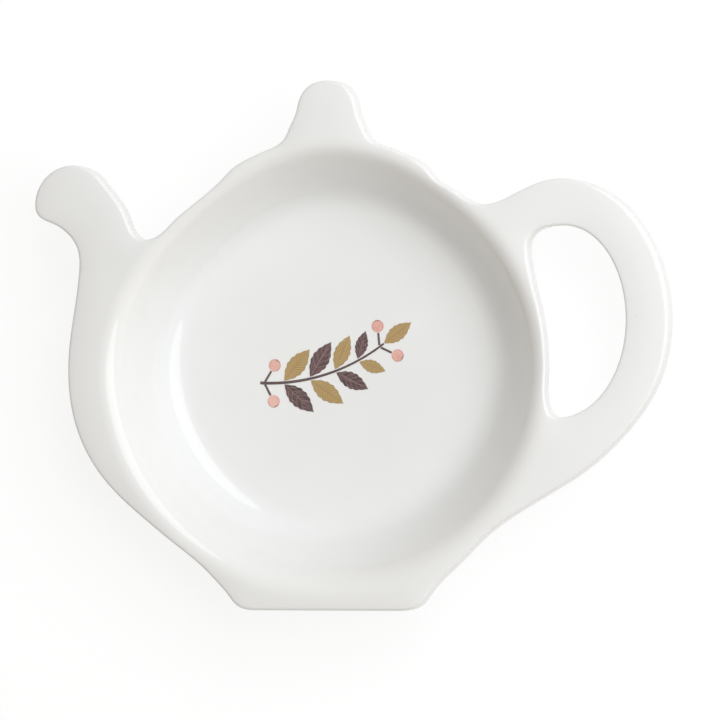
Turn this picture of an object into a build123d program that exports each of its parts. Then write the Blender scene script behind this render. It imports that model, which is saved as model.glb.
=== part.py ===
from build123d import *
import os
from math import cos, pi, radians, sin, sqrt

# Teapot-shaped tea bag rest in glazed china, in millimetres.
# Drawn about the well's axis with Z = 0 on the table, then moved so that X = Y = 0 is the
# middle of the silhouette. +X points to the handle, +Y to the knob and +Z up.

# Well
FLOOR_R = 32.5          # foot of the wall
MOUTH_R = 41.0          # mouth at the rim
WELL_DEPTH = 13.0       # floor to rim
FLOOR_T = 3.4           # china under the floor
BASE_LAND = 1.1         # underside wider than the floor
UNDER_LAND = 0.3        # outside of the wall beyond the mouth, under the rim
HOLLOW_R = 8.0          # hollow corner between floor and wall
BASE_ROUND_R = 2.4      # outside corner between wall and underside
BOWL_SINK = 0.6         # how far the bowl runs up into the rim plate

# Shoulders, which draw the mouth in on both sides of the lid
LEFT_DRAW = 3.7
RIGHT_DRAW = 2.4
LEFT_DRAW_ANGLE = 128.0
RIGHT_DRAW_ANGLE = 54.0
DRAW_SPREAD = 60.0      # degrees to each side over which a draw fades out
FOOT_FOLLOWS = 0.6      # share of a draw that the foot of the wall takes part in

# Rim plate, which carries the silhouette
RIM_T = 4.0
DOME_R = 1000.0         # radius of the plate's faint dome
EDGE_R = 0.6            # rounding of the plate's edges
MOUTH_EDGE_R = 0.6      # rounding of the mouth
LIP_LAND = 1.5          # rim beside the finger gap
SHOULDER_LAND = 1.8     # rim along the shoulders
HANDLE_NOTCH_LAND = 3.9 # rim in the notch above the handle
SPOUT_NOTCH_LAND = 3.3  # rim in the notch beside the spout
LID_LAND = 2.7          # rim along the lid
FLANK_LAND = 3.7        # rim on the lower flanks
LOW_FLANK_LAND = 4.3    # rim just above the pot foot
BELLY_LAND = 8.9        # rim on the spout side
LOW_BELLY_LAND = 7.6    # rim below the belly

# Pot foot, the flat bottom of the silhouette
POT_FOOT_LAND = 4.9
POT_FOOT_HALF = 14.5    # half of its straight run
POT_FOOT_CORNER = 4.1   # run of each rounded corner
POT_FOOT_RISE = 2.0     # rise of each rounded corner
POT_FOOT_SIDE = 0.5     # middle beyond the well's axis, along X

# Knob
KNOB_HALF = 5.8         # half width near the top
KNOB_NECK_HALF = 7.6    # half width at the root
KNOB_RISE = 11.4        # top above the well's mouth
KNOB_ROUND = 5.3        # height of its round top
KNOB_SIDE = 0.4         # middle beyond the well's axis, along X
KNOB_ROOT = 1.6         # root above the well's mouth
KNOB_SEAM = 2.4         # luting face above the well's mouth

# Handle loop
HANDLE_REACH = 23.2     # lip to the outermost point
HANDLE_CROWN_X = 2.6    # lip to the highest point
HANDLE_MID = 8.0        # outermost point above the well's axis
HANDLE_RISE = 26.1      # highest point above the outermost point
HANDLE_W = 8.7          # width at the top
HANDLE_SIDE_W = 8.1     # width at the outermost point
HANDLE_NECK_RUN = 7.5   # highest point to the upper neck, along X
HANDLE_NECK_DROP = 2.2  # the same along Y
HANDLE_LOW_RUN = 7.9    # outermost point to the lower bend, along X
HANDLE_LOW_DROP = 20.2  # the same along Y
HANDLE_ROOT_LAND = 10.1 # lower root outside the well's mouth
GAP_DROP = 18.1         # bottom of the finger gap below the outermost point
GAP_TOP_X = 3.4         # lip to the top of the finger gap
GAP_FOOT_X = 2.2        # lip to the bottom of the finger gap
GAP_TOP_LAND = 1.9      # upper corner of the finger gap beyond the lip
GAP_FOOT_LAND = 1.0     # lower corner of the finger gap beyond the lip
HANDLE_SEAM = 1.4       # luting faces beyond the lip

# Spout
NECK_ANGLE = 152.6
NECK_LAND = 9.0         # middle of the neck outside the well's mouth
SPOUT_RUN = 6.8         # neck to the middle of the round tip, along X
SPOUT_RISE = 7.5        # the same along Y
SPOUT_TIP_R = 7.4
SPOUT_BACK_RUN = 3.5    # neck to the spout's back, along X
SPOUT_BACK_RISE = 6.2   # the same along Y
THROAT_RUN = 9.5        # neck to the throat under the tip, along X
THROAT_RISE = 3.5       # the same along Y
SPOUT_ROOT_LAND = 11.8  # root on the belly outside the well's mouth

# Foot ring
RING_R = 28.0           # middle of the ring
RING_W = 3.2
RING_H = 1.5
RING_EDGE_R = 0.5

# Printed sprig on the floor
PRINT_T = 0.06
STEM_HALF = 12.5        # half length of the stem
STEM_BOW = 2.2          # sag of the stem
STEM_W = 0.55
STEM_TILT = 17.0        # degrees
LEAF_LENGTH = 7.6
LEAF_W = 3.3
LEAF_SPREAD = 46.0      # degrees between leaf and stem
BERRY_R = 1.15
BERRY_SPREAD = 60.0     # degrees between stalk and stem
STALK_LENGTH = 2.6
STALK_W = 0.4
PRINT_GAP = 0.12        # bare glaze between two colours

# Where the well and the bowl close, on the belly side, clear of the thin lip
RING_START = 165.0      # degrees

BASE_Z = RING_H
FLOOR_Z = BASE_Z + FLOOR_T
RIM_Z = FLOOR_Z + WELL_DEPTH
LIP_R = MOUTH_R + LIP_LAND


def draw_in(angle, centre, amount):
    # Draw of one shoulder at the given angle, zero beyond its spread.
    turn = (angle - centre + 180) % 360 - 180
    if abs(turn) >= DRAW_SPREAD:
        return 0.0
    return amount * cos(pi / 2 * turn / DRAW_SPREAD) ** 2


def drawn(angle):
    left = draw_in(angle, LEFT_DRAW_ANGLE, LEFT_DRAW)
    right = draw_in(angle, RIGHT_DRAW_ANGLE, RIGHT_DRAW)
    return left + right


def mouth_radius(angle):
    return MOUTH_R - drawn(angle)


def polar(angle, radius, z=0.0):
    return Vector(radius * cos(radians(angle)), radius * sin(radians(angle)), z)


def rim(angle, land):
    # Point of the silhouette, a given land outside the mouth.
    return polar(angle, mouth_radius(angle) + land)


def heading(angle):
    return polar(angle, 1)


def curve(start, start_heading, end, end_heading):
    return Spline(start, end, tangents=(heading(start_heading), heading(end_heading)))


def chain(joints):
    # Smooth run of curves through joints of a point and a heading.
    return [curve(*first, *second) for first, second in zip(joints, joints[1:])]


def wall_ring(z, share, out):
    # Closed curve at height z, a share of the way up the wall from its foot to the mouth.
    points = []
    for step in range(24):
        angle = RING_START + step * 15.0
        foot = FLOOR_R - FOOT_FOLLOWS * drawn(angle)
        radius = foot + (mouth_radius(angle) - foot) * share + out
        points.append(polar(angle, radius, z))
    return Wire([Spline(*points, periodic=True)])


# Silhouette, drawn anticlockwise from the highest point of the handle
crown = Vector(LIP_R + HANDLE_CROWN_X, HANDLE_MID + HANDLE_RISE)
outermost = Vector(LIP_R + HANDLE_REACH, HANDLE_MID)
loop_run = HANDLE_REACH - HANDLE_CROWN_X
loop_middle = Vector(crown.X, HANDLE_MID)
knob_top = Vector(KNOB_SIDE, MOUTH_R + KNOB_RISE)
neck = polar(NECK_ANGLE, mouth_radius(NECK_ANGLE) + NECK_LAND)
tip_middle = neck + Vector(-SPOUT_RUN, SPOUT_RISE)
pot_foot_y = -MOUTH_R - POT_FOOT_LAND
pot_foot_left = Vector(POT_FOOT_SIDE - POT_FOOT_HALF, pot_foot_y)
pot_foot_right = Vector(POT_FOOT_SIDE + POT_FOOT_HALF, pot_foot_y)

to_spout = chain([
    (crown, 180),
    (crown + Vector(-HANDLE_NECK_RUN, -HANDLE_NECK_DROP), 204),
    (rim(43.4, HANDLE_NOTCH_LAND), 184),
    (rim(52.7, SHOULDER_LAND), 150),
    (rim(59.3, SHOULDER_LAND), 120),
    (rim(63.7, LID_LAND), 145),
    (rim(71.8, LID_LAND), 157),
    (Vector(KNOB_SIDE + KNOB_NECK_HALF, MOUTH_R + KNOB_ROOT), 105),
    (knob_top + Vector(KNOB_HALF, -KNOB_ROUND), 98),
    (knob_top, 180),
    (knob_top + Vector(-KNOB_HALF, -KNOB_ROUND), 262),
    (Vector(KNOB_SIDE - KNOB_NECK_HALF, MOUTH_R + KNOB_ROOT), 255),
    (rim(107.6, LID_LAND), 205),
    (rim(115.7, LID_LAND), 217),
    (rim(121.4, SHOULDER_LAND), 222),
    (rim(136.6, SHOULDER_LAND), 219),
    (rim(146.5, SPOUT_NOTCH_LAND), 185),
    (neck + Vector(SPOUT_BACK_RUN, SPOUT_BACK_RISE), 118),
    (tip_middle + polar(37, SPOUT_TIP_R), 127),
])
tip_arc = CenterArc(tip_middle, SPOUT_TIP_R, 37, 148)
to_pot_foot = chain([
    (tip_middle + polar(185, SPOUT_TIP_R), 275),
    (neck + Vector(-THROAT_RUN, THROAT_RISE), 328),
    (rim(158.8, SPOUT_ROOT_LAND), 268),
    (rim(181.7, BELLY_LAND), 270),
    (rim(203.3, LOW_BELLY_LAND), 304),
    (rim(225.5, FLANK_LAND), 321),
    (rim(241.3, LOW_FLANK_LAND), 312),
    (pot_foot_left + Vector(-POT_FOOT_CORNER, POT_FOOT_RISE), 300),
    (pot_foot_left, 0),
])
pot_foot_run = Line(pot_foot_left, pot_foot_right)
to_outermost = chain([
    (pot_foot_right, 0),
    (pot_foot_right + Vector(POT_FOOT_CORNER, POT_FOOT_RISE), 58),
    (rim(-57.7, LOW_FLANK_LAND), 41),
    (rim(-42.7, FLANK_LAND), 35),
    (rim(-25.9, HANDLE_ROOT_LAND), 31),
    (outermost + Vector(-HANDLE_LOW_RUN, -HANDLE_LOW_DROP), 49),
    (outermost, 90),
])
loop_arc = EllipticalCenterArc(loop_middle, loop_run, HANDLE_RISE, start_angle=0, arc_size=90)
silhouette = Wire(to_spout + [tip_arc] + to_pot_foot + [pot_foot_run] + to_outermost + [loop_arc])

# Finger gap, with the lip of the rim as its inner side
gap_out = HANDLE_REACH - HANDLE_SIDE_W
gap_rise = HANDLE_RISE - HANDLE_W
top_middle = Vector(LIP_R + GAP_TOP_X, HANDLE_MID)
foot_middle = Vector(LIP_R + GAP_FOOT_X, HANDLE_MID)
gap_top = top_middle + Vector(0, gap_rise)
gap_bottom = foot_middle + Vector(0, -GAP_DROP)
gap_arcs = [
    EllipticalCenterArc(top_middle, gap_out - GAP_TOP_X, gap_rise, start_angle=0, arc_size=90),
    EllipticalCenterArc(foot_middle, gap_out - GAP_FOOT_X, GAP_DROP, start_angle=270, arc_size=90),
]
gap_lip = chain([
    (gap_top, 180),
    (polar(28.5, LIP_R + GAP_TOP_LAND), 276),
    (polar(16, LIP_R), 286),
    (polar(-6, LIP_R), 264),
    (polar(-10.7, LIP_R + GAP_FOOT_LAND), 280),
    (gap_bottom, 0),
])
finger_gap = Wire(gap_arcs + gap_lip)

# Rim plate, a faint dome cut to the silhouette and rounded at its edges
# The balls lie on their sides, which keeps their poles and seams clear of the plate.
dome_middle = Pos(0, 0, RIM_Z - sqrt(DOME_R ** 2 - MOUTH_R ** 2))
on_side = (0, 90, 0)
dome_top = dome_middle * Sphere(DOME_R, rotation=on_side)
dome_under = dome_middle * Sphere(DOME_R - RIM_T, rotation=on_side)
column = extrude(Face(silhouette, [finger_gap]), amount=2 * RIM_Z)
plate = (column & dome_top) - dome_under
plate_edges = [edge for edge in plate.edges() if abs(edge.tangent_at(0.5).Z) < 0.5]
plate = fillet(plate_edges, EDGE_R)

# Bowl under the plate, and the well cut into both
bowl_top = RIM_Z - RIM_T + BOWL_SINK
bowl_ends = [wall_ring(BASE_Z, 0.0, BASE_LAND), wall_ring(bowl_top, 1.0, UNDER_LAND)]
bowl = Solid.make_loft(bowl_ends, True)
bowl = fillet(bowl.edges().group_by(Axis.Z)[0], BASE_ROUND_R)
well_top = RIM_Z + RIM_T
well_ends = [wall_ring(FLOOR_Z, 0.0, 0.0), wall_ring(well_top, (well_top - FLOOR_Z) / WELL_DEPTH, 0.0)]
well = Solid.make_loft(well_ends, True)
well = fillet(well.edges().group_by(Axis.Z)[0], HOLLOW_R)
blank = plate + bowl
body = blank - well
body = fillet(new_edges(blank, well, combined=body), MOUTH_EDGE_R)

# Luting faces, where knob, handle and spout meet the dish
knob_face = Plane((0, MOUTH_R + KNOB_SEAM, 0), z_dir=(0, 1, 0))
handle_face = Plane((LIP_R + HANDLE_SEAM, 0, 0), z_dir=(1, 0, 0))
spout_face = Plane(neck, z_dir=tip_middle - neck)
knob = split(body, knob_face, Keep.TOP)
body = split(body, knob_face, Keep.BOTTOM)
handle = split(body, handle_face, Keep.TOP)
body = split(body, handle_face, Keep.BOTTOM)
spout = split(body, spout_face, Keep.TOP)
dish = split(body, spout_face, Keep.BOTTOM)

# Foot ring
ring_section = Pos(RING_R, 0, RING_H / 2) * Rot(90, 0, 0) * Rectangle(RING_W, RING_H)
foot_ring = revolve(ring_section, Axis.Z)
foot_ring = fillet(foot_ring.edges().group_by(Axis.Z)[0], RING_EDGE_R)

# Printed sprig, four colours fired flat on the floor
stem_line = ThreePointArc((-STEM_HALF, 0), (0, -STEM_BOW), (STEM_HALF, 0))


def on_stem(share, side, spread, away):
    # Place on the stem, turned out to one side and moved away from the stem's middle.
    turn = (stem_line % share).get_angle(Vector(1, 0)) * (1 if share > 0.5 else -1)
    return Pos(stem_line @ share) * Rot(0, 0, turn + side * spread) * Pos(away, 0)


def leaf(share, side, size):
    length = LEAF_LENGTH * size
    half = LEAF_W * size / 2
    away = STEM_W / 2 / sin(radians(LEAF_SPREAD)) + PRINT_GAP
    if side == 0:
        away = PRINT_GAP
    upper = Spline((0, 0), (0.45 * length, half), (length, 0), tangents=(heading(26), heading(-38)))
    lower = Spline((length, 0), (0.45 * length, -half), (0, 0), tangents=(heading(218), heading(154)))
    return on_stem(share, side, LEAF_SPREAD, away) * make_face([upper, lower])


def stalk(share, side):
    return on_stem(share, side, BERRY_SPREAD, STALK_LENGTH / 2) * Rectangle(STALK_LENGTH, STALK_W)


def berry(share, side):
    return on_stem(share, side, BERRY_SPREAD, STALK_LENGTH + PRINT_GAP + BERRY_R) * Circle(BERRY_R)


def printed(faces):
    # Thin layer on the floor, with the sprig centred on the well.
    place = Pos(0, 0, FLOOR_Z) * Rot(0, 0, STEM_TILT) * Pos(-LEAF_LENGTH / 2, STEM_BOW / 2)
    return [extrude(place * face, amount=PRINT_T) for face in faces]


LEAF_PAIRS = [(0.17, 1, 1.0), (0.37, -1, 1.0), (0.57, 1, 0.9), (0.76, -1, 0.7)]
BERRIES = [(0.03, 1), (0.03, -1), (0.96, 1), (0.96, -1)]
gold_faces = [leaf(share, side, size) for share, side, size in LEAF_PAIRS] + [leaf(1.0, 0, 0.85)]
brown_faces = [leaf(share, -side, size) for share, side, size in LEAF_PAIRS]
berry_faces = [berry(share, side) for share, side in BERRIES]
stem_face = trace(stem_line, STEM_W)
for share, side in BERRIES:
    stem_face += stalk(share, side)

pieces = {
    "print_stem": Compound(printed(stem_face.faces())),
    "print_gold_leaves": Compound(printed(gold_faces)),
    "print_brown_leaves": Compound(printed(brown_faces)),
    "print_berries": Compound(printed(berry_faces)),
    "dish": dish,
    "knob": knob,
    "handle": handle,
    "spout": spout,
    "foot_ring": foot_ring,
}
# Move to the middle of the silhouette
middle_x = (outermost.X + tip_middle.X - SPOUT_TIP_R) / 2
middle_y = (knob_top.Y + pot_foot_y) / 2
os.makedirs("parts", exist_ok=True)
for name, piece in pieces.items():
    export_step(Pos(-middle_x, -middle_y, 0) * piece, f"parts/{name}.step")
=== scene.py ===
from math import ceil, cos, pi, radians, sin, tau

import bmesh
import bpy
import numpy as np
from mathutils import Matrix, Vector
from mathutils.geometry import delaunay_2d_cdt


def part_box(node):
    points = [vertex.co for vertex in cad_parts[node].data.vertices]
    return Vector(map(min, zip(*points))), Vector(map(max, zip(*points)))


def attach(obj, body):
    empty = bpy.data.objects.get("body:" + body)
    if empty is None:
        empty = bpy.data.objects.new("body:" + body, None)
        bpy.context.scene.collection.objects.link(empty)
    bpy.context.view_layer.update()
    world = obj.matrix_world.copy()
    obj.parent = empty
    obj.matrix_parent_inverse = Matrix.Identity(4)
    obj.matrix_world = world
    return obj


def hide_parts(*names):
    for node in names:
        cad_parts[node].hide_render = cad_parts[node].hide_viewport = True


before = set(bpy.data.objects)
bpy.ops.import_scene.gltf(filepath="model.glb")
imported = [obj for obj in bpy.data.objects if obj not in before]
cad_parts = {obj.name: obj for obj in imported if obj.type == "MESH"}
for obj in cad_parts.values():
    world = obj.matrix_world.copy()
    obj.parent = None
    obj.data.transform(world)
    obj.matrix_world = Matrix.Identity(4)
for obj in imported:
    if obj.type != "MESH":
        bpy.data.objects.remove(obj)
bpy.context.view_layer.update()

# Teapot-shaped tea bag rest in glazed china. Lengths are in millimetres until they reach Blender.
MM = 0.001
RING_LOW, RING_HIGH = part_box("foot_ring")
WELL = (RING_LOW + RING_HIGH) / 2
BASE_Z = RING_HIGH.z / MM
FLOOR_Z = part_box("print_stem")[0].z / MM
LUGS = ("knob", "spout", "handle")
CHINA = ("dish",) + LUGS

# Well and rim
FLOOR_R = 32.5
BASE_LAND = 1.1         # underside wider than the floor
MOUTH_R = 41.0
WELL_DEPTH = 13.0
RIM_Z = FLOOR_Z + WELL_DEPTH
RIM_T = 4.0
BOWL_SINK = 0.6         # how far the bowl runs up into the rim plate
EDGE_ROLL = 0.6
UNEVEN_SCALE = 55.0     # waves of the uneven glaze in a metre
CHINA_SIZES = {
    "Well X": WELL.x,
    "Well Y": WELL.y,
    "Floor height": FLOOR_Z * MM,
    "Base height": BASE_Z * MM,
    "Rim height": RIM_Z * MM,
    "Bowl top": (RIM_Z - RIM_T + BOWL_SINK) * MM,
    "Floor radius": FLOOR_R * MM,
    "Floor side": -0.9 * MM,
    "Floor back": 0.5 * MM,
    "Base radius": (FLOOR_R + BASE_LAND) * MM,
    "Mouth radius": MOUTH_R * MM,
    "Under land": 0.3 * MM,
    "Left draw": 3.7 * MM,
    "Right draw": 2.4 * MM,
    "Left shoulder": radians(128.0),
    "Right shoulder": radians(54.0),
    "Shoulder spread": radians(60.0),
    "Foot follows": 0.6,
    "Dome radius": 1000.0 * MM,
    "Rim thickness": RIM_T * MM,
    "Edge roll": EDGE_ROLL * MM,
    "Under roll": 0.25 * MM,
    "Crown drop": 0.35 * MM,
    "Crown width": 5.0 * MM,
    "Crest softness": 6.3 * MM,
    "Hollow softness": 8.0 * MM,
    "Base softness": 3.0 * MM,
    "Root softness": 2.0 * MM,
    "Unevenness": 0.07 * MM,
}

# Mesh of the china
SLICE_Z = 15.0          # height at which the outline of the CAD pieces is read
OUTLINE_STEP = 0.6
OUTLINE_PASSES = 3      # rounds of smoothing on the outline
LUTING_TOUCH = 0.02     # outlines nearer than this meet on a luting face
ON_LINE = 0.0001        # how near a point of a luting line lies to it, as an area
LUG_MARGIN = 1.0        # room round a lug in which its faces are looked for
ROLL_ANGLES = range(15, 91, 15)
ROLL_KEPT = 0.96        # share of its step that a point of the roll keeps from the edge
ROLL_MARGIN = 0.3
SEAM_MARGIN = 0.3
FLOOR_STEP = 2.0
WALL_STEP = 0.8
FILL_STEP = 0.9
HOLLOW_START = 28.0     # radius from which the rings lie close for the hollow
WALL_START = 35.0       # radius from which they lie closer still for wall and crest
FILL_START = 44.8       # radius from which an even grid takes over
HOLLOW_RING = 0.5
WALL_RING = 0.4
WELL_RINGS = [
    *np.arange(FLOOR_STEP, HOLLOW_START, FLOOR_STEP),
    *np.arange(HOLLOW_START, WALL_START, HOLLOW_RING),
    *np.arange(WALL_START, FILL_START, WALL_RING),
]
SHEET_REACH = 72.0      # half side of the even grid
BATCH = 1500            # points that are measured at a time
WELD = 1e-7             # points nearer than this are one
TINY = 1e-9             # keeps a division from zero


def link(obj):
    bpy.context.scene.collection.objects.link(obj)
    return obj


# Building blocks of the node trees
def feed(tree, socket, value):
    """Gives an input a plain value or another node's output."""
    if isinstance(value, bpy.types.NodeSocket):
        tree.links.new(value, socket)
    else:
        socket.default_value = value


def add_node(tree, kind, inputs, **settings):
    """New node with its settings, and with its inputs fed by name or number."""
    node = tree.nodes.new(kind)
    for name, value in settings.items():
        setattr(node, name, value)
    for key, value in inputs.items():
        feed(tree, node.inputs[key], value)
    return node


def calculator(tree):
    """Maths for a node tree: calc("ADD", a, b) takes numbers and sockets."""
    def calc(operation, *terms):
        return add_node(tree, "ShaderNodeMath", dict(enumerate(terms)), operation=operation).outputs[0]
    return calc


def vector(tree, x=0.0, y=0.0, z=0.0):
    return add_node(tree, "ShaderNodeCombineXYZ", {"X": x, "Y": y, "Z": z}).outputs[0]


def split(tree, place):
    """X, Y and Z of a vector."""
    return tuple(add_node(tree, "ShaderNodeSeparateXYZ", {0: place}).outputs)


def new_tree(name, sizes):
    """Geometry tree with one named input for each size."""
    tree = bpy.data.node_groups.new(name, "GeometryNodeTree")
    tree.interface.new_socket("Geometry", in_out="INPUT", socket_type="NodeSocketGeometry")
    for size in sizes:
        tree.interface.new_socket(size, in_out="INPUT", socket_type="NodeSocketFloat")
    tree.interface.new_socket("Geometry", in_out="OUTPUT", socket_type="NodeSocketGeometry")
    return tree, tree.nodes.new("NodeGroupInput").outputs


def close_tree(tree, geometry, material):
    """Ends a tree in plain geometry with its material."""
    whole = add_node(tree, "GeometryNodeRealizeInstances", {0: geometry})
    paint = add_node(tree, "GeometryNodeSetMaterial", {"Geometry": whole.outputs[0], "Material": material})
    add_node(tree, "NodeGroupOutput", {0: paint.outputs[0]})


def position(tree):
    return tree.nodes.new("GeometryNodeInputPosition").outputs[0]


def set_position(tree, geometry, place):
    inputs = {"Geometry": geometry, "Position": place}
    return add_node(tree, "GeometryNodeSetPosition", inputs).outputs[0]


def named(tree, name):
    """Reads a stored value of the mesh in a geometry tree."""
    node = add_node(tree, "GeometryNodeInputNamedAttribute", {"Name": name}, data_type="FLOAT")
    return node.outputs["Attribute"]


def store(tree, geometry, name, value):
    """Stores a value on the points of a mesh in a geometry tree."""
    inputs = {"Name": name, "Geometry": geometry, "Value": value}
    node = add_node(tree, "GeometryNodeStoreNamedAttribute", inputs, data_type="FLOAT", domain="POINT")
    return node.outputs["Geometry"]


def grow(mesh, tree, sizes):
    """Runs a tree on a mesh with the given sizes and returns the result as a plain mesh."""
    obj = link(bpy.data.objects.new(tree.name + "_blank", mesh))
    modifier = obj.modifiers.new(tree.name, "NODES")
    modifier.node_group = tree
    for socket in tree.interface.items_tree:
        if socket.in_out == "INPUT" and socket.name in sizes:
            modifier[socket.identifier] = sizes[socket.name]
    view = bpy.context.evaluated_depsgraph_get()
    result = bpy.data.meshes.new_from_object(
        obj.evaluated_get(view), preserve_all_data_layers=True, depsgraph=view)
    obj.modifiers.remove(modifier)
    bpy.data.objects.remove(obj)
    return result


# Outline of the china, read from the CAD pieces
def signed_area(loop):
    ahead = np.roll(loop, -1, axis=0)
    return (loop[:, 0] * ahead[:, 1] - loop[:, 1] * ahead[:, 0]).sum() / 2


def slice_loop(node):
    """Longest closed outline of a CAD piece at the slice height, anticlockwise."""
    copy = bmesh.new()
    copy.from_mesh(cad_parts[node].data)
    bmesh.ops.remove_doubles(copy, verts=copy.verts, dist=WELD)
    everything = copy.verts[:] + copy.edges[:] + copy.faces[:]
    cut = bmesh.ops.bisect_plane(
        copy, geom=everything, plane_co=(0, 0, SLICE_Z * MM), plane_no=(0, 0, 1), dist=TINY)
    beside = {}
    for edge in cut["geom_cut"]:
        if isinstance(edge, bmesh.types.BMEdge):
            for here, there in (edge.verts, reversed(edge.verts)):
                beside.setdefault(here, []).append(there)
    loops = []
    while beside:
        point = next(iter(beside))
        loop = []
        while point is not None:
            loop.append((point.co.x / MM, point.co.y / MM))
            ahead = [other for other in beside.pop(point) if other in beside]
            point = ahead[0] if ahead else None
        loops.append(np.array(loop))
    copy.free()
    longest = max(loops, key=lambda loop: np.linalg.norm(loop - np.roll(loop, 1, axis=0), axis=1).sum())
    return longest if signed_area(longest) > 0 else longest[::-1]


def distance(points, starts, ends):
    """Distance of each point from the nearest of some straight segments."""
    run = ends - starts
    length = np.maximum((run ** 2).sum(1), TINY)
    nearest = np.empty(len(points))
    for first in range(0, len(points), BATCH):
        away = points[first:first + BATCH, None] - starts
        share = np.clip((away * run).sum(2) / length, 0, 1)
        nearest[first:first + BATCH] = ((away - share[..., None] * run) ** 2).sum(2).min(1)
    return np.sqrt(nearest)


def inside(points, starts, ends):
    """Whether each point is within the silhouette and not in the finger gap."""
    result = np.empty(len(points), bool)
    for first in range(0, len(points), BATCH):
        x, y = points[first:first + BATCH].T[:, :, None]
        crosses = (starts[:, 1] > y) != (ends[:, 1] > y)
        rise = np.where(ends[:, 1] == starts[:, 1], TINY, ends[:, 1] - starts[:, 1])
        at = starts[:, 0] + (y - starts[:, 1]) / rise * (ends[:, 0] - starts[:, 0])
        result[first:first + BATCH] = (crosses & (x < at)).sum(1) % 2 == 1
    return result


def open_runs(loop, neighbours):
    """Parts of a piece's outline that lie on the silhouette and not on a luting face."""
    ahead = np.roll(loop, -1, axis=0)
    starts = np.concatenate(neighbours)
    ends = np.concatenate([np.roll(other, -1, axis=0) for other in neighbours])
    luted = distance((loop + ahead) / 2, starts, ends) < LUTING_TOUCH
    first = next(i for i in range(len(loop)) if luted[i - 1] and not luted[i])
    order = [(first + i) % len(loop) for i in range(len(loop))]
    runs = []
    for i in order:
        if luted[i]:
            continue
        if luted[i - 1]:
            runs.append([loop[i]])
        runs[-1].append(ahead[i])
    return [np.array(run) for run in runs]


def even_run(run):
    """The same run in even steps, without its last point."""
    steps = np.linalg.norm(np.diff(run, axis=0), axis=1)
    along = np.concatenate([[0], np.cumsum(steps)])
    count = ceil(along[-1] / OUTLINE_STEP)
    at = np.linspace(0, along[-1], count + 1)[:-1]
    return np.stack([np.interp(at, along, run[:, axis]) for axis in (0, 1)], 1)


def silhouette():
    """Closed outlines of the whole rest, and the ends of the luting lines by piece."""
    loops = {node: slice_loop(node) for node in CHINA}
    runs = {"dish": open_runs(loops["dish"], [loops[lug] for lug in LUGS])}
    for lug in LUGS:
        runs[lug] = open_runs(loops[lug], [loops["dish"]])
    left = [run for node in CHINA for run in runs[node]]
    outlines = []
    while left:
        chain = [left.pop(0)]
        while True:
            end = chain[-1][-1]
            gaps = [np.linalg.norm(run[0] - end) for run in left + chain[:1]]
            nearest = int(np.argmin(gaps))
            if nearest == len(left):
                break
            chain.append(left.pop(nearest))
        outline = np.concatenate([even_run(run) for run in chain])
        for _ in range(OUTLINE_PASSES):
            outline = (np.roll(outline, 1, axis=0) + 2 * outline + np.roll(outline, -1, axis=0)) / 4
        outlines.append(outline)
    luting_ends = {lug: np.concatenate([run[[0, -1]] for run in runs[lug]]) for lug in LUGS}
    return outlines, luting_ends


def luting_lines(outlines, luting_ends):
    """Index pairs of outline points that each luting line joins, by piece."""
    points = np.concatenate(outlines)
    lines = {}
    for lug, ends in luting_ends.items():
        picked = [int(np.argmin(np.linalg.norm(points - end, axis=1))) for end in ends]
        spread = np.ptp(ends, axis=0)
        picked.sort(key=lambda i: points[i][int(np.argmax(spread))])
        lines[lug] = list(zip(picked[::2], picked[1::2]))
    return lines


# Flat sheet that becomes the china
def outline_edges(outlines):
    """Index pairs along the outlines, and the way into the china at each point."""
    edges = []
    inward = []
    first = 0
    for outline in outlines:
        index = np.arange(first, first + len(outline))
        edges += list(zip(index, np.roll(index, -1)))
        along = np.roll(outline, -1, axis=0) - np.roll(outline, 1, axis=0)
        along /= np.linalg.norm(along, axis=1)[:, None]
        inward.append(np.stack([-along[:, 1], along[:, 0]], 1))
        first += len(outline)
    return edges, np.concatenate(inward)


def luting_points(a, b, roll):
    """Points between the ends of a luting line, close together where the edges roll."""
    length = np.linalg.norm(b - a)
    middle = np.linspace(roll[-1], length - roll[-1], ceil(length / FILL_STEP))[1:-1]
    at = np.array([*roll, *middle, *(length - step for step in reversed(roll))])
    return a + (b - a) * (at / length)[:, None]


def fill_points(starts, ends):
    """Rings of points in the well and an even grid of points outside it."""
    centre = np.array([WELL.x, WELL.y]) / MM
    fill = [centre[None]]
    for radius in WELL_RINGS:
        step = FLOOR_STEP if radius < HOLLOW_START else WALL_STEP
        turn = np.linspace(0, tau, ceil(tau * radius / step), endpoint=False)
        fill.append(centre + radius * np.stack([np.cos(turn), np.sin(turn)], 1))
    rows = np.arange(-SHEET_REACH, SHEET_REACH, FILL_STEP * sin(pi / 3))
    columns = np.arange(-SHEET_REACH, SHEET_REACH, FILL_STEP)
    x, y = np.meshgrid(columns, rows)
    x[1::2] += FILL_STEP / 2
    grid = np.stack([x.ravel(), y.ravel()], 1)
    fill.append(grid[np.linalg.norm(grid - centre, axis=1) > FILL_START])
    fill = np.concatenate(fill)
    fill = fill[inside(fill, starts, ends)]
    return fill[distance(fill, starts, ends) > EDGE_ROLL + ROLL_MARGIN]


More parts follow.
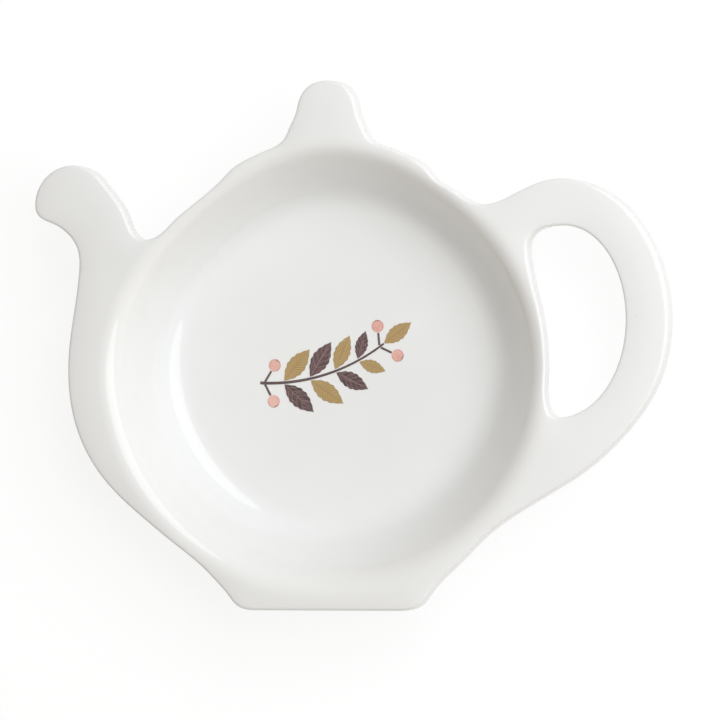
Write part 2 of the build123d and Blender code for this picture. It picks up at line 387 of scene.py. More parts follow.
def sheet_points(outlines, lines):
    """Points of the sheet, the edges that its mesh has to keep, and the silhouette's segments."""
    points = np.concatenate(outlines)
    edges, inward = outline_edges(outlines)
    starts = points[[a for a, b in edges]]
    ends = points[[b for a, b in edges]]
    roll = [EDGE_ROLL * (1 - cos(radians(angle))) for angle in ROLL_ANGLES]
    sets = [points]
    luting = []
    for first, last in (pair for pairs in lines.values() for pair in pairs):
        between = luting_points(points[first], points[last], roll)
        count = sum(len(part) for part in sets)
        chain = [first, *range(count, count + len(between)), last]
        edges += list(zip(chain, chain[1:]))
        sets.append(between)
        luting.append((points[first], points[last]))
    luting_starts, luting_ends = np.array(luting).transpose(1, 0, 2)
    inner = []
    for step in roll:
        ring = points + inward * step
        inner.append(ring[distance(ring, starts, ends) > ROLL_KEPT * step])
    inner = np.concatenate(inner + [fill_points(starts, ends)])
    inner = inner[distance(inner, luting_starts, luting_ends) > SEAM_MARGIN]
    return np.concatenate(sets + [inner]), edges, starts, ends


def blank_sheet():
    """Flat closed mesh of the whole rest, top and underside, with its points and luting lines."""
    outlines, luting_ends = silhouette()
    lines = luting_lines(outlines, luting_ends)
    points, edges, starts, ends = sheet_points(outlines, lines)
    flat = delaunay_2d_cdt([Vector(point) for point in points], edges, [], 0, WELD)
    points = np.array([tuple(point) for point in flat[0]])
    triangles = np.array(flat[2])
    triangles = triangles[inside(points[triangles].mean(1), starts, ends)]
    count = len(points)
    origin = {old: new for new, olds in enumerate(flat[3]) for old in olds}
    walls = []
    first = 0
    for outline in outlines:
        index = [origin[i] for i in range(first, first + len(outline))]
        walls += [(b, a, a + count, b + count) for a, b in zip(index, index[1:] + index[:1])]
        first += len(outline)
    faces = triangles.tolist() + (triangles[:, ::-1] + count).tolist() + walls
    mesh = bpy.data.meshes.new("china_blank")
    both = np.zeros((2 * count, 3))
    both[:, :2] = np.concatenate([points, points]) * MM
    mesh.from_pydata(both.tolist(), [], faces)
    edge = mesh.attributes.new("edge", "FLOAT", "POINT")
    edge.data.foreach_set("value", np.tile(distance(points, starts, ends) * MM, 2))
    under = mesh.attributes.new("under", "FLOAT", "POINT")
    under.data.foreach_set("value", np.repeat([0.0, 1.0], count))
    kept = [tuple(sorted((origin[a], origin[b]))) for a, b in edges]
    lines = {lug: [(origin[i], origin[j]) for i, j in pairs] for lug, pairs in lines.items()}
    return mesh, points, kept, lines


def china_tree(material):
    """Raises the flat sheet into rim, crest, well, bowl and rolled edges."""
    tree, size = new_tree("china", CHINA_SIZES)
    calc = calculator(tree)
    place = position(tree)
    sheet_x, sheet_y, _ = split(tree, place)
    edge = named(tree, "edge")
    under = named(tree, "under")
    x = calc("SUBTRACT", sheet_x, size["Well X"])
    y = calc("SUBTRACT", sheet_y, size["Well Y"])
    radius = calc("SQRT", calc("ADD", calc("MULTIPLY", x, x), calc("MULTIPLY", y, y)))
    angle = calc("ARCTAN2", y, x)

    # Mouth of the well, drawn in at both shoulders, and the feet of the walls, which follow it
    draw = 0.0
    for side in ("Left", "Right"):
        turn = calc("WRAP", calc("SUBTRACT", angle, size[side + " shoulder"]), pi, -pi)
        share = calc("MINIMUM", calc("DIVIDE", calc("ABSOLUTE", turn), size["Shoulder spread"]), 1.0)
        fade = calc("COSINE", calc("MULTIPLY", share, pi / 2))
        draw = calc("ADD", draw, calc("MULTIPLY", size[side + " draw"], calc("MULTIPLY", fade, fade)))
    mouth = calc("SUBTRACT", size["Mouth radius"], draw)
    drawn = calc("MULTIPLY", draw, size["Foot follows"])
    aside = calc("MULTIPLY", size["Floor side"], calc("COSINE", angle))
    back = calc("MULTIPLY", size["Floor back"], calc("SINE", angle))
    foot = calc("SUBTRACT", calc("ADD", size["Floor radius"], calc("ADD", aside, back)), drawn)
    base = calc("SUBTRACT", size["Base radius"], drawn)

    def roll(reach):
        """Drop of a rounded edge."""
        inner = calc("MAXIMUM", calc("SUBTRACT", reach, edge), 0.0)
        square = calc("SUBTRACT", calc("MULTIPLY", reach, reach), calc("MULTIPLY", inner, inner))
        return calc("SUBTRACT", reach, calc("SQRT", calc("MAXIMUM", square, 0.0)))

    def slope(low, foot, high, head):
        """Height of a straight wall from its foot to its head."""
        rise = calc("DIVIDE", calc("SUBTRACT", high, low), calc("SUBTRACT", head, foot))
        return calc("ADD", low, calc("MULTIPLY", rise, calc("SUBTRACT", radius, foot)))

    # Top: domed and crowned rim plate with a rolled edge, a soft crest and the well
    past_mouth = calc("SUBTRACT", calc("MULTIPLY", radius, radius), calc("POWER", size["Mouth radius"], 2.0))
    fall = calc("DIVIDE", calc("MULTIPLY", past_mouth, 0.5), size["Dome radius"])
    plate = calc("SUBTRACT", size["Rim height"], fall)
    crown = calc("SUBTRACT", 1.0, calc("MINIMUM", calc("DIVIDE", edge, size["Crown width"]), 1.0))
    crown = calc("MULTIPLY", size["Crown drop"], calc("MULTIPLY", crown, crown))
    rim = calc("SUBTRACT", calc("SUBTRACT", plate, roll(size["Edge roll"])), crown)
    wall = slope(size["Floor height"], foot, size["Rim height"], mouth)
    well = calc("SMOOTH_MAX", size["Floor height"], wall, size["Hollow softness"])
    top = calc("SMOOTH_MIN", rim, well, size["Crest softness"])

    # Faint unevenness of the glaze, none on the floor
    waves = {"Scale": UNEVEN_SCALE, "Detail": 1.0, "Vector": place}
    ripple = add_node(tree, "ShaderNodeTexNoise", waves).outputs[0]
    raised = calc("SUBTRACT", top, size["Floor height"])
    share = calc("MINIMUM", calc("DIVIDE", raised, size["Hollow softness"]), 1.0)
    top = calc("SUBTRACT", top, calc("MULTIPLY", ripple, calc("MULTIPLY", share, size["Unevenness"])))

    # Underside: plate, root of the bowl, bowl and base
    beneath = calc("ADD", calc("SUBTRACT", plate, size["Rim thickness"]), roll(size["Under roll"]))
    bowl_mouth = calc("ADD", mouth, size["Under land"])
    bowl = slope(size["Base height"], base, size["Bowl top"], bowl_mouth)
    bowl = calc("SMOOTH_MAX", size["Base height"], bowl, size["Base softness"])
    beneath = calc("SMOOTH_MIN", beneath, bowl, size["Root softness"])
    height = calc("ADD", top, calc("MULTIPLY", under, calc("SUBTRACT", beneath, top)))
    geometry = set_position(tree, size["Geometry"], vector(tree, sheet_x, sheet_y, height))

    # Where the glaze runs thin over crest and edge, and where it pools in the hollow
    def near(a, b, reach):
        """1 where two heights meet, down to 0 where they are a reach apart."""
        away = calc("DIVIDE", calc("ABSOLUTE", calc("SUBTRACT", a, b)), reach)
        return calc("SUBTRACT", 1.0, calc("MINIMUM", away, 1.0))

    above = calc("SUBTRACT", 1.0, under)
    crest = calc("MULTIPLY", near(rim, well, size["Crest softness"]), above)
    thin = calc("MAXIMUM", crest, near(edge, 0.0, size["Edge roll"]))
    pool = calc("MULTIPLY", near(wall, size["Floor height"], size["Hollow softness"]), above)
    geometry = store(tree, geometry, "thin", thin)
    geometry = store(tree, geometry, "pool", pool)
    close_tree(tree, geometry, material)
    return tree


# Pieces of the china
def upright_sides(normals, faces):
    """Makes the normals level along the rim's upright sides, the only faces with four corners."""
    sides = np.unique([face for face in faces if len(face) == 4])
    normals[sides, 2] = 0
    normals[sides] /= np.linalg.norm(normals[sides], axis=1)[:, None]


def sort_faces(middles, points, lines):
    """Piece that each face belongs to, and the ends and inward way of each piece's luting faces."""
    owner = np.full(len(middles), "dish", object)
    luting = {node: [] for node in CHINA}
    for lug in LUGS:
        low, high = (np.array(corner)[:2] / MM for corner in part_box(lug))
        a, b = points[list(lines[lug][0])]
        into_lug = np.array([a[1] - b[1], b[0] - a[0]])
        into_lug *= np.sign(into_lug @ ((low + high) / 2 - a))
        near = ((middles > low - LUG_MARGIN) & (middles < high + LUG_MARGIN)).all(1)
        owner[near & ((middles - a) @ into_lug > 0)] = lug
        for ends in lines[lug]:
            luting[lug].append((ends, into_lug))
            luting["dish"].append((ends, -into_lug))
    return owner, luting


def luting_chain(first, last, points, beside):
    """Points of the sheet along a luting line, from end to end."""
    straight = points[last] - points[first]
    ahead = [other for other in beside[first]
             if abs(np.cross(straight, points[other] - points[first])) < ON_LINE]
    chain = [first, max(ahead, key=lambda other: straight @ (points[other] - points[first]))]
    while chain[-1] != last:
        chain.append(next(other for other in beside[chain[-1]] if other != chain[-2]))
    return chain


def china_piece(node, skin_faces, luting_faces, place, normals, values, material):
    """One piece: its share of the glazed skin, closed by flat luting faces."""
    faces = skin_faces + luting_faces
    used = np.unique(np.concatenate([np.array(face) for face in faces]))
    number = {old: new for new, old in enumerate(used)}
    mesh = bpy.data.meshes.new(node + "_china")
    mesh.from_pydata(place[used].tolist(), [], [[number[v] for v in face] for face in faces])
    for name, value in values.items():
        layer = mesh.attributes.new(name, "FLOAT", "POINT")
        layer.data.foreach_set("value", value[used])
    smooth = [True] * len(skin_faces) + [False] * len(luting_faces)
    mesh.polygons.foreach_set("use_smooth", smooth)
    corner_normals = []
    for face in mesh.polygons:
        if smooth[face.index]:
            corner_normals += [normals[used[vertex]] for vertex in face.vertices]
        else:
            corner_normals += [tuple(face.normal)] * len(face.vertices)
    mesh.normals_split_custom_set(corner_normals)
    mesh.materials.append(material)
    piece = link(bpy.data.objects.new(node + "_china", mesh))
    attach(piece, "root")
    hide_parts(node)


def china_pieces(material):
    """Dish, spout, knob and handle, divided from one skin at the luting lines."""
    blank, points, kept, lines = blank_sheet()
    skin = grow(blank, china_tree(material), CHINA_SIZES)
    count = len(points)
    place = np.array([vertex.co for vertex in skin.vertices])
    normals = np.array([normal.vector for normal in skin.vertex_normals])
    values = {}
    for name in ("thin", "pool"):
        values[name] = np.empty(len(place), np.float32)
        skin.attributes[name].data.foreach_get("value", values[name])
    faces = [tuple(face.vertices) for face in skin.polygons]
    bpy.data.meshes.remove(skin)
    upright_sides(normals, faces)
    middles = np.array([points[np.array(face) % count].mean(0) for face in faces])
    owner, luting = sort_faces(middles, points, lines)
    beside = {}
    for i, j in kept:
        beside.setdefault(i, []).append(j)
        beside.setdefault(j, []).append(i)
    for node in CHINA:
        luting_faces = []
        for ends, inward in luting[node]:
            chain = luting_chain(*ends, points, beside)
            ring = chain + [vertex + count for vertex in reversed(chain)]
            across = np.cross(place[chain[-1]] - place[chain[0]], (0, 0, -1))[:2]
            luting_faces.append(tuple(ring if across @ inward > 0 else ring[::-1]))
        skin_faces = [faces[i] for i in np.flatnonzero(owner == node)]
        china_piece(node, skin_faces, luting_faces, place, normals, values, material)


# Finishes
CHINA_WHITE = (0.868, 0.868, 0.855)
CHINA_SHADE = (0.856, 0.856, 0.845)
THIN_GLAZE = (0.86, 0.845, 0.815)
POOLED_GLAZE = (0.835, 0.845, 0.84)
SPECK = (0.42, 0.37, 0.32)
BARE_LIGHT = (0.83, 0.81, 0.77)
BARE_DARK = (0.77, 0.745, 0.70)
FOOT_STAIN = (0.66, 0.62, 0.56)
BROWN_DARK = (0.05, 0.029, 0.03)
BROWN_LIGHT = (0.1, 0.056, 0.056)
BROWN_STREAK = (0.3, 0.17, 0.165)
BROWN_HAIR = (0.018, 0.012, 0.014)
BROWN_VEIN = (0.34, 0.2, 0.19)
GOLD_DARK = (0.42, 0.275, 0.095)
GOLD_LIGHT = (0.47, 0.315, 0.125)
GOLD_WASH = (0.55, 0.4, 0.19)
GOLD_HATCH = (0.27, 0.165, 0.045)
GOLD_RIM = (0.3, 0.19, 0.06)
CORAL_LIGHT = (0.8, 0.46, 0.385)
CORAL_DARK = (0.74, 0.36, 0.3)
CORAL_WASH = (0.84, 0.58, 0.5)
CORAL_RIM = (0.56, 0.2, 0.165)
CORAL_TIP = (0.2, 0.1, 0.09)
GLAZE_IOR = 1.5
GLAZE_SHINE = 0.38      # 0.5 would leave the mirror image as the IOR gives it
BARE_ROUGHNESS = 0.8
PRINT_ROUGHNESS = 0.1
GRAIN_DEPTH = 0.04 * MM
SPECK_SCALE = 105.0     # cells in a metre, each of which may hold a speck
SPECK_FREE = 0.72       # share of the cells that hold none
SPECK_WIDTH = 0.016     # widest speck as a share of its cell
TONE_SHIFT = 40.0       # gives each leaf brush streaks of its own
MIDRIB = 0.09           # half width of a midrib as a share of the leaf's


def new_finish(name):
    """Material with its node tree and its shader."""
    material = bpy.data.materials.new(name)
    material.use_nodes = True
    tree = material.node_tree
    return material, tree, tree.nodes["Principled BSDF"]


def object_place(tree):
    return tree.nodes.new("ShaderNodeTexCoord").outputs["Object"]


def noise(tree, scale, detail=2.0):
    inputs = {"Scale": scale, "Detail": detail, "Vector": object_place(tree)}
    return add_node(tree, "ShaderNodeTexNoise", inputs).outputs[0]


def stored(tree, name):
    """Reads a stored value of the mesh in a material."""
    node = tree.nodes.new("ShaderNodeAttribute")
    node.attribute_name = name
    return node.outputs["Fac"]


def blend(tree, share, first, second):
    """Mix of two colours by a share."""
    first, second = ((*colour, 1) if isinstance(colour, tuple) else colour for colour in (first, second))
    return add_node(tree, "ShaderNodeMix", {0: share, 6: first, 7: second}, data_type="RGBA").outputs[2]


def tinted(tree, colour, tint, share, strength):
    """A colour with a tint laid over it where the share is high."""
    return blend(tree, calculator(tree)("MULTIPLY", share, strength), colour, tint)


def band(tree, value, low, high, to_low=0.0, to_high=1.0):
    """Spreads a band of values over another."""
    inputs = {"Value": value, "From Min": low, "From Max": high, "To Min": to_low, "To Max": to_high}
    return add_node(tree, "ShaderNodeMapRange", inputs).outputs[0]


def bump(tree, shader, height, strength):
    inputs = {"Distance": GRAIN_DEPTH, "Strength": strength, "Height": height}
    feed(tree, shader.inputs["Normal"], add_node(tree, "ShaderNodeBump", inputs).outputs[0])


def specks(tree):
    """A few tiny specks, of different widths."""
    calc = calculator(tree)
    inputs = {"Scale": SPECK_SCALE, "Vector": object_place(tree)}
    cells = add_node(tree, "ShaderNodeTexVoronoi", inputs).outputs
    lot = add_node(tree, "ShaderNodeSeparateColor", {0: cells["Color"]}).outputs
    few = calc("GREATER_THAN", lot[0], SPECK_FREE)
    width = calc("MULTIPLY", lot[1], SPECK_WIDTH)
    return calc("MULTIPLY", calc("LESS_THAN", cells["Distance"], width), few)


def china_glaze():
    """White glaze, warmer where it is thin and greener where it pools, with a few specks."""
    material, tree, shader = new_finish("china_glaze")
    clouds = band(tree, noise(tree, scale=70.0), low=0.35, high=0.65)
    colour = blend(tree, clouds, CHINA_WHITE, CHINA_SHADE)
    colour = tinted(tree, colour, THIN_GLAZE, stored(tree, "thin"), strength=0.3)
    colour = tinted(tree, colour, POOLED_GLAZE, stored(tree, "pool"), strength=0.35)
    colour = tinted(tree, colour, SPECK, specks(tree), strength=0.6)
    gloss = band(tree, noise(tree, scale=40.0), low=0.3, high=0.7, to_low=0.05, to_high=0.09)
    feed(tree, shader.inputs["Base Color"], colour)
    feed(tree, shader.inputs["Roughness"], gloss)
    shader.inputs["IOR"].default_value = GLAZE_IOR
    shader.inputs["Specular IOR Level"].default_value = GLAZE_SHINE
    bump(tree, shader, noise(tree, scale=420.0, detail=3.0), strength=0.35)
    return material


def bare_china():
    """Unglazed china of the foot ring, with grain, a faint stain and turning marks."""
    material, tree, shader = new_finish("bare_china")
    calc = calculator(tree)
    grain = noise(tree, scale=2600.0, detail=3.0)
    colour = blend(tree, band(tree, grain, low=0.35, high=0.65), BARE_LIGHT, BARE_DARK)
    stain = band(tree, noise(tree, scale=130.0), low=0.55, high=0.75, to_high=0.35)
    colour = blend(tree, stain, colour, FOOT_STAIN)
    feed(tree, shader.inputs["Base Color"], colour)
    shader.inputs["Roughness"].default_value = BARE_ROUGHNESS
    to_axis = {"Location": (-WELL.x, -WELL.y, 0), "Vector": object_place(tree)}
    centred = add_node(tree, "ShaderNodeMapping", to_axis).outputs[0]
    rings = {"Scale": 900.0, "Distortion": 1.5, "Vector": centred}
    turning = add_node(tree, "ShaderNodeTexWave", rings, wave_type="RINGS", rings_direction="Z")
    bump(tree, shader, calc("ADD", turning.outputs["Fac"], grain), strength=0.5)
    return material


def print_finish(name):
    """Finish of one print colour, with the place along and across the leaf and the leaf's own tone."""
    material, tree, shader = new_finish(name)
    shader.inputs["Roughness"].default_value = PRINT_ROUGHNESS
    shader.inputs["IOR"].default_value = GLAZE_IOR
    return material, tree, shader, [stored(tree, value) for value in ("along", "across", "tone")]


def brush(tree, leaf, lengthwise, crosswise):
    """Brush streaks that run along a leaf, so many in its length and in its width."""
    calc = calculator(tree)
    scales = (lengthwise, crosswise, TONE_SHIFT)
    place = vector(tree, *(calc("MULTIPLY", value, scale) for value, scale in zip(leaf, scales)))
    return add_node(tree, "ShaderNodeTexNoise", {"Scale": 1.0, "Detail": 3.0, "Vector": place}).outputs[0]


def vein_lines(tree, leaf, count, lean, width):
    """Side veins that leave the midrib and lean towards the tip, and the midrib itself."""
    calc = calculator(tree)
    along, across, _ = leaf
    side = calc("ABSOLUTE", across)
    phase = calc("FRACT", calc("SUBTRACT", calc("MULTIPLY", along, count), calc("MULTIPLY", side, lean)))
    vein = calc("LESS_THAN", calc("ABSOLUTE", calc("SUBTRACT", phase, 0.5)), width)
    return calc("MAXIMUM", vein, calc("LESS_THAN", side, MIDRIB))


def leaf_rim(tree, leaf, start):
    """Rises from a share of the leaf's half width to its edge."""
    return band(tree, calculator(tree)("ABSOLUTE", leaf[1]), low=start, high=1.0)


def brown_print():
    """Dark brown leaves and stem with light streaks, dark hairs and light veins."""
    material, tree, shader, leaf = print_finish("print_brown")
    colour = blend(tree, leaf[2], BROWN_DARK, BROWN_LIGHT)
    streaks = band(tree, brush(tree, leaf, lengthwise=5.0, crosswise=7.0), low=0.5, high=0.68)
    colour = tinted(tree, colour, BROWN_STREAK, streaks, strength=0.75)
    hairs = band(tree, brush(tree, leaf, lengthwise=9.0, crosswise=22.0), low=0.56, high=0.66)
    colour = tinted(tree, colour, BROWN_HAIR, hairs, strength=0.6)
    veins = vein_lines(tree, leaf, count=6.0, lean=1.3, width=0.09)
    colour = tinted(tree, colour, BROWN_VEIN, veins, strength=0.45)
    feed(tree, shader.inputs["Base Color"], colour)
    return material


def gold_print():
    """Mustard leaves with a pale wash, fine hatching and a darker rim."""
    material, tree, shader, leaf = print_finish("print_gold")
    colour = blend(tree, leaf[2], GOLD_DARK, GOLD_LIGHT)
    wash = band(tree, brush(tree, leaf, lengthwise=3.0, crosswise=2.2), low=0.4, high=0.66)
    colour = tinted(tree, colour, GOLD_WASH, wash, strength=0.4)
    hatch = vein_lines(tree, leaf, count=13.0, lean=2.4, width=0.2)
    colour = tinted(tree, colour, GOLD_HATCH, hatch, strength=0.42)
    colour = tinted(tree, colour, GOLD_RIM, leaf_rim(tree, leaf, start=0.8), strength=0.45)
    feed(tree, shader.inputs["Base Color"], colour)
    return material


def coral_print():
    """Coral berries with a pale wash, a darker rim and a dark tip."""
    material, tree, shader, leaf = print_finish("print_coral")
    colour = blend(tree, leaf[2], CORAL_LIGHT, CORAL_DARK)
    wash = band(tree, brush(tree, leaf, lengthwise=4.0, crosswise=2.5), low=0.42, high=0.62)
    colour = tinted(tree, colour, CORAL_WASH, wash, strength=0.5)
    colour = tinted(tree, colour, CORAL_RIM, leaf_rim(tree, leaf, start=0.72), strength=0.55)
    tip = band(tree, leaf[0], low=0.86, high=0.94)
    colour = tinted(tree, colour, CORAL_TIP, tip, strength=0.7)
    feed(tree, shader.inputs["Base Color"], colour)
    return material


# Printed sprig on the floor of the well
SPRIG_SIZES = {
    "Well X": WELL.x,
    "Well Y": WELL.y,
    "Floor height": FLOOR_Z * MM,
    "Print thickness": 0.06 * MM,
    "Sprig tilt": radians(17.0),
    "Stem half": 12.5 * MM,
    "Stem bow": 2.2 * MM,
    "Stem width": 0.55 * MM,
    "Stem taper": 0.35,
    "Stem shift": -3.8 * MM,
    "Stem lift": 1.1 * MM,
}
LEAF = {
    "Length": 7.6 * MM, "Width": 3.3 * MM, "Fullness": 1.1, "Skew": 0.95,
    "Scallop": 0.06, "Scallops": 6.0, "Spread": radians(46.0),
}
STALK = {
    "Length": 2.3 * MM, "Width": 0.4 * MM, "Fullness": 0.0, "Skew": 1.0,
    "Scallop": 0.0, "Scallops": 0.0, "Spread": radians(60.0),
}
BERRY = {
    "Length": 2.3 * MM, "Width": 2.3 * MM, "Fullness": 0.5, "Skew": 1.0,
    "Scallop": 0.0, "Scallops": 0.0, "Spread": radians(60.0),
}
TIP_SHARE = 0.04        # least width of a leaf as a share of its full width
LEAF_GRID = (41, 9)     # points along and across
STEM_GRID = (81, 3)
STEM_STEPS = 64
LEAF_GAP = 0.5
END_GAP = 0.12
STALK_GAP = 0.3
BERRY_GAP = 2.72
END_LEAF = 0.85         # size of the leaf at the stem's end
# Share of the stem, side of the mustard leaf and size of each pair of leaves
LEAVES = [(0.17, 1, 1.0), (0.37, -1, 1.0), (0.57, 1, 0.9), (0.76, -1, 0.7)]
# Share of the stem and side of each berry
BERRIES = [(0.03, 1), (0.03, -1), (0.96, 1), (0.96, -1)]


def sprig_table(name, rows):
    """Points that hold the place, side, size and gap of each leaf on the stem."""
    mesh = bpy.data.meshes.new(name)
    mesh.from_pydata([(0, 0, 0)] * len(rows), [], [])
    for column, key in enumerate(("share", "side", "size", "gap")):
        layer = mesh.attributes.new(key, "FLOAT", "POINT")
        layer.data.foreach_set("value", [float(row[column]) for row in rows])
    return mesh


def sprig_tree(name, sizes, material, seed, with_stem):
    """Sets leaves, stalks or berries along the bowed stem, each turned out to its side."""
    tree, size = new_tree(name, sizes)
    calc = calculator(tree)

    def strip(steps, rows):
        """Closed thin strip that stores its place along and across and its level."""
        counts = {"Vertices X": steps, "Vertices Y": rows, "Vertices Z": 2}
        box = add_node(tree, "GeometryNodeMeshCube", {"Size": (1, 1, 1), **counts})
        x, y, z = split(tree, position(tree))
        turn = calc("MULTIPLY", calc("ADD", x, 0.5), pi)
        along = calc("MULTIPLY", calc("SUBTRACT", 1.0, calc("COSINE", turn)), 0.5)
        geometry = store(tree, box.outputs["Mesh"], "along", along)
        geometry = store(tree, geometry, "across", calc("MULTIPLY", y, 2.0))
        return store(tree, geometry, "level", calc("ADD", z, 0.5))

    def moved(geometry, x, y):
        """The strip laid out in its shape, at the print's thickness."""
        height = calc("MULTIPLY", named(tree, "level"), size["Print thickness"])
        return set_position(tree, geometry, vector(tree, x, y, height))

    def on_stem(share):
        """Place and heading of the stem at a share of its length."""
        right = calc("ADD", size["Stem shift"], size["Stem half"])
        left = calc("SUBTRACT", size["Stem shift"], size["Stem half"])
        sag = calc("SUBTRACT", size["Stem lift"], size["Stem bow"])
        bow = {
            "Resolution": STEM_STEPS,
            "Start": vector(tree, left, size["Stem lift"]),
            "Middle": vector(tree, size["Stem shift"], sag),
            "End": vector(tree, right, size["Stem lift"]),
        }
        arc = add_node(tree, "GeometryNodeCurveArc", bow, mode="POINTS")
        at = {"Curves": arc.outputs["Curve"], "Factor": share}
        sample = add_node(tree, "GeometryNodeSampleCurve", at, mode="FACTOR")
        return [*split(tree, sample.outputs["Position"])[:2], *split(tree, sample.outputs["Tangent"])[:2]]

    # One leaf, widest behind its middle, with a scalloped edge
    along, across = named(tree, "along"), named(tree, "across")
    belly = calc("POWER", along, size["Skew"])
    belly = calc("MULTIPLY", 4.0, calc("MULTIPLY", belly, calc("SUBTRACT", 1.0, belly)))
    belly = calc("POWER", belly, size["Fullness"])
    wave = calc("SINE", calc("MULTIPLY", along, calc("MULTIPLY", size["Scallops"], tau)))
    belly = calc("MULTIPLY", belly, calc("ADD", 1.0, calc("MULTIPLY", wave, size["Scallop"])))
    half = calc("MULTIPLY", calc("MAXIMUM", belly, TIP_SHARE), calc("MULTIPLY", size["Width"], 0.5))
    leaf = moved(strip(*LEAF_GRID), calc("MULTIPLY", along, size["Length"]), calc("MULTIPLY", across, half))

    # Its places on the stem
    x, y, run, rise = on_stem(named(tree, "share"))
    turn = calc("MULTIPLY", named(tree, "side"), size["Spread"])
    turn = calc("ADD", calc("ARCTAN2", rise, run), turn)
    gap = named(tree, "gap")
    x = calc("ADD", x, calc("MULTIPLY", gap, calc("COSINE", turn)))
    y = calc("ADD", y, calc("MULTIPLY", gap, calc("SINE", turn)))
    rows = {"Mesh": size["Geometry"], "Position": vector(tree, x, y)}
    places = add_node(tree, "GeometryNodeMeshToPoints", rows).outputs[0]
    chance = add_node(tree, "FunctionNodeRandomValue", {"Seed": seed}, data_type="FLOAT")
    places = store(tree, places, "tone", chance.outputs["Value"])
    places = store(tree, places, "turn", turn)
    spread = add_node(tree, "GeometryNodeInstanceOnPoints", {
        "Points": places,
        "Instance": leaf,
        "Rotation": vector(tree, z=named(tree, "turn")),
        "Scale": vector(tree, named(tree, "size"), named(tree, "size"), 1.0),
    })
    geometry = spread.outputs[0]

    if with_stem:
        x, y, run, rise = on_stem(along)
        thin = calc("SUBTRACT", 1.0, calc("MULTIPLY", along, size["Stem taper"]))
        half = calc("MULTIPLY", calc("MULTIPLY", size["Stem width"], 0.5), calc("MULTIPLY", thin, across))
        x = calc("SUBTRACT", x, calc("MULTIPLY", rise, half))
        y = calc("ADD", y, calc("MULTIPLY", run, half))
        both = add_node(tree, "GeometryNodeJoinGeometry", {0: moved(strip(*STEM_GRID), x, y)})
        feed(tree, both.inputs[0], geometry)
        geometry = both.outputs[0]

    place = add_node(tree, "GeometryNodeTransform", {
        "Geometry": geometry,
        "Translation": vector(tree, size["Well X"], size["Well Y"], size["Floor height"]),
        "Rotation": vector(tree, z=size["Sprig tilt"]),
    })
    close_tree(tree, place.outputs[0], material)
    return tree


def sprig_piece(node, rows, blade, material, seed, with_stem=False):
    """One colour of the print as its own closed piece."""
    sizes = {**SPRIG_SIZES, **blade}
    tree = sprig_tree(node + "_sprig", sizes, material, seed, with_stem)
    mesh = grow(sprig_table(node, rows), tree, sizes)
    mesh.polygons.foreach_set("use_smooth", [False] * len(mesh.polygons))
    piece = link(bpy.data.objects.new(node + "_sprig", mesh))
    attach(piece, "root")
    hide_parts(node)


def printed_sprig():
    """Stem, leaves in pairs of mustard and brown, and berries on stalks."""
    brown, gold, coral = brown_print(), gold_print(), coral_print()
    gold_rows = [(share, side, size, LEAF_GAP * MM) for share, side, size in LEAVES]
    gold_rows.append((1.0, 0, END_LEAF, END_GAP * MM))
    brown_rows = [(share, -side, size, LEAF_GAP * MM) for share, side, size in LEAVES]
    stalk_rows = [(share, side, 1.0, STALK_GAP * MM) for share, side in BERRIES]
    berry_rows = [(share, side, 1.0, BERRY_GAP * MM) for share, side in BERRIES]
    sprig_piece("print_gold_leaves", gold_rows, LEAF, gold, seed=3)
    sprig_piece("print_brown_leaves", brown_rows, LEAF, brown, seed=5)
    sprig_piece("print_stem", stalk_rows, STALK, brown, seed=7, with_stem=True)
    sprig_piece("print_berries", berry_rows, BERRY, coral, seed=9)


# Floor, light and camera, in metres
FLOOR_REACH = 4.0
BOUNCE_COLOUR = 0.6     # floor as it lights the object
BOUNCE_GLOW = 0.25
SHADOW_COLOUR = 0.2     # floor as it is seen
WHITE_GLOW = 0.83
FILL = 0.385
FILL_TINT = (1.0, 0.93, 0.84)
KEY_TINT = (0.95, 0.995, 1.045)
KEY = {"azimuth": 28.0, "elevation": 51.0, "away": 0.9, "width": 1.4, "height": 0.8, "level": 0.74}
CARD = {"azimuth": 304.0, "elevation": 12.0, "away": 0.9, "width": 1.4, "height": 0.34, "level": 0.018}
CAMERA_LEAN = radians(16.0)
CAMERA_AWAY = 3.0
CAMERA_REACH = 20.0
SENSOR_WIDTH = 36.0
PICTURE_WIDTH = 133.3 * MM
PICTURE_SIDE = 7.12 * MM    # middle of the picture beyond the well's axis, along X
PICTURE_BACK = 0.55 * MM    # the same along Y


def seen_rays(tree):
    """1 for what the camera sees, straight or mirrored, and 0 for the light on the object."""
    calc = calculator(tree)
    path = tree.nodes.new("ShaderNodeLightPath").outputs
    seen = calc("MAXIMUM", path["Is Camera Ray"], path["Is Glossy Ray"])
    return calc("MAXIMUM", seen, path["Is Transmission Ray"])


def floor_shader(tree, colour, glow):
    """Matt floor that also glows a little."""
    matt = add_node(tree, "ShaderNodeBsdfDiffuse", {"Color": (colour, colour, colour, 1)})
    white = add_node(tree, "ShaderNodeEmission", {"Strength": glow})
    return add_node(tree, "ShaderNodeAddShader", {0: matt.outputs[0], 1: white.outputs[0]}).outputs[0]


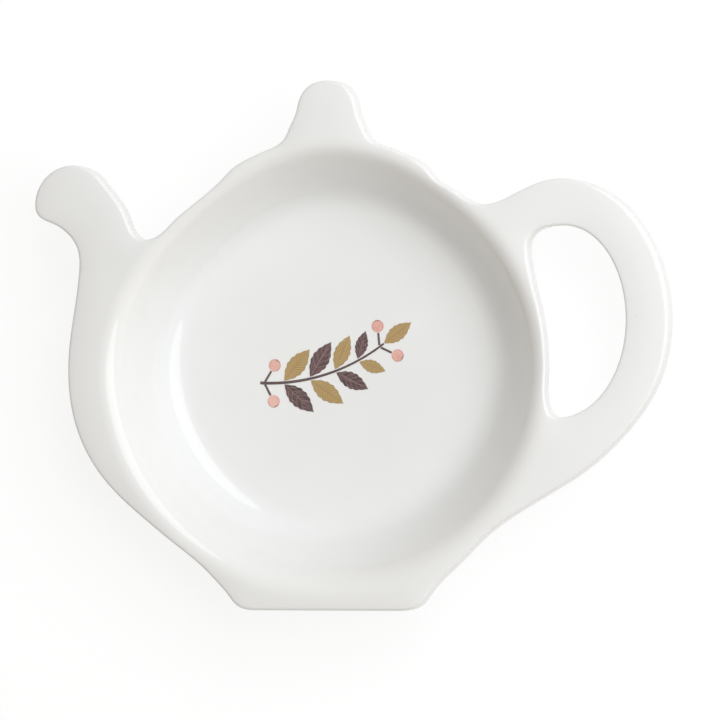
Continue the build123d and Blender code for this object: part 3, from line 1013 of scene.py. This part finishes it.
def pale_floor():
    """White to the camera apart from a soft shadow, and grey in the light that it throws back."""
    mesh = bpy.data.meshes.new("floor")
    corners = [(-1, -1), (1, -1), (1, 1), (-1, 1)]
    mesh.from_pydata([(FLOOR_REACH * x, FLOOR_REACH * y, 0) for x, y in corners], [], [(0, 1, 2, 3)])
    floor = link(bpy.data.objects.new("floor", mesh))
    material, tree, shader = new_finish("pale_floor")
    tree.nodes.remove(shader)
    choose = add_node(tree, "ShaderNodeMixShader", {
        0: seen_rays(tree),
        1: floor_shader(tree, BOUNCE_COLOUR, BOUNCE_GLOW),
        2: floor_shader(tree, SHADOW_COLOUR, WHITE_GLOW),
    })
    feed(tree, tree.nodes["Material Output"].inputs["Surface"], choose.outputs[0])
    mesh.materials.append(material)


def studio_world():
    """White to the camera, and a warm even fill light on the object."""
    world = bpy.data.worlds.new("studio")
    world.use_nodes = True
    tree = world.node_tree
    calc = calculator(tree)
    seen = seen_rays(tree)
    background = tree.nodes["Background"]
    feed(tree, background.inputs["Color"], blend(tree, seen, FILL_TINT, (1, 1, 1)))
    feed(tree, background.inputs["Strength"], calc("ADD", FILL, calc("MULTIPLY", seen, 1.0 - FILL)))
    bpy.context.scene.world = world


def soft_lamp(name, azimuth, elevation, away, width, height, level, tint):
    """Oval soft box that lights a level surface at the object to about the given level."""
    lamp = bpy.data.lights.new(name, "AREA")
    lamp.shape = "ELLIPSE"
    lamp.size = width
    lamp.size_y = height
    lamp.color = tint
    lamp.energy = level * pi ** 2 * away ** 2 / sin(radians(elevation))
    toward = Vector((
        cos(radians(azimuth)) * cos(radians(elevation)),
        sin(radians(azimuth)) * cos(radians(elevation)),
        sin(radians(elevation)),
    ))
    obj = link(bpy.data.objects.new(name, lamp))
    obj.location = toward * away
    obj.rotation_euler = toward.to_track_quat("Z", "Y").to_euler()


def photo_camera():
    """Long lens from above, leaning towards the handle as in the photograph."""
    camera = bpy.data.cameras.new("camera")
    camera.sensor_width = SENSOR_WIDTH
    camera.lens = SENSOR_WIDTH * CAMERA_AWAY / PICTURE_WIDTH
    camera.clip_end = CAMERA_REACH
    obj = link(bpy.data.objects.new("camera", camera))
    middle = Vector((WELL.x + PICTURE_SIDE, WELL.y + PICTURE_BACK, RIM_Z * MM))
    obj.location = middle + CAMERA_AWAY * Vector((sin(CAMERA_LEAN), 0, cos(CAMERA_LEAN)))
    obj.rotation_euler = (0, CAMERA_LEAN, 0)
    bpy.context.scene.camera = obj


china_pieces(china_glaze())
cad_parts["foot_ring"].material_slots[0].material = bare_china()
printed_sprig()
pale_floor()
studio_world()
soft_lamp("key", tint=KEY_TINT, **KEY)
soft_lamp("card", tint=FILL_TINT, **CARD)
photo_camera()
bpy.context.scene.view_settings.view_transform = "Standard"
